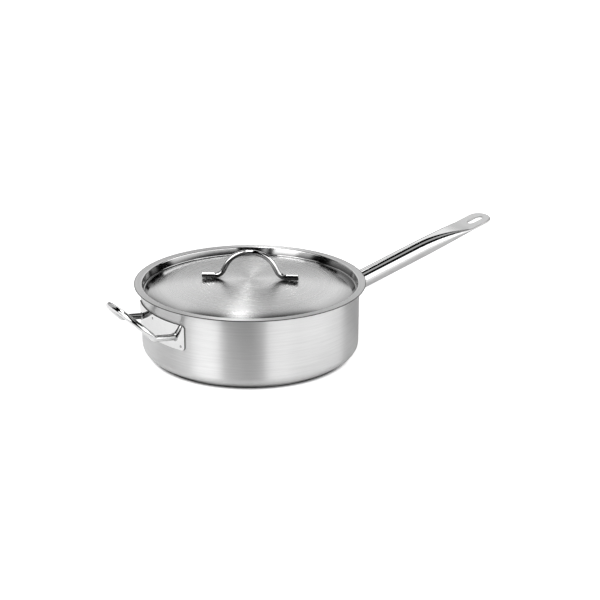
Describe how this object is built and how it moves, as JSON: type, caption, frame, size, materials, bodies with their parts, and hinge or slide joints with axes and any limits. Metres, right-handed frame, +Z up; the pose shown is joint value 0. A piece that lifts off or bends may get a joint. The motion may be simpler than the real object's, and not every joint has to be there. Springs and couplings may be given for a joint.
{
  "type": "saute pan with lid",
  "caption": "Straight-sided stainless steel saute pan with a sandwich base, a long pressed-tube handle, a rod helper handle and a lift-off recessed lid with a bent-rod handle.",
  "frame": {"origin": "centre of the flat underside of the base, which rests on the hob", "axes": "+X along the long handle, -X to the helper handle, +Z up, the way the lid lifts off"},
  "size_m": [0.5942, 0.2978, 0.1369],
  "materials": {
    "brushed_wall": "stainless steel, brushed level round the wall",
    "core_aluminium": "rolled aluminium plate, hidden in the base",
    "base_steel": "stainless steel, turned in fine rings",
    "polished_handle": "polished stainless steel tube, satin where it is pressed flat",
    "polished_bracket": "polished stainless steel sheet",
    "polished_rod": "mirror-polished stainless steel rod",
    "weld_steel": "stainless steel weld, ground and polished",
    "spun_lid": "stainless steel, brushed in rings about the centre"
  },
  "bodies": {
    "pan": {"pan_shell": "brushed_wall", "base_core": "core_aluminium", "base_cap": "base_steel", "long_handle": "polished_handle", "long_handle_bracket": "polished_bracket", "long_handle_weld": "weld_steel", "long_handle_spot_welds": "weld_steel", "helper_handle": "polished_rod", "helper_handle_plate": "polished_bracket", "helper_handle_welds": "weld_steel", "helper_plate_spot_welds": "weld_steel"},
    "lid": {"lid_plate": "spun_lid", "lid_handle": "polished_rod", "lid_handle_welds": "weld_steel"}
  },
  "joints": [
    {"name": "lid_lift", "type": "slide", "parent": "pan", "child": "lid", "axis": [0, 0, 1], "range_m": [0, 0.15]}
  ]
}
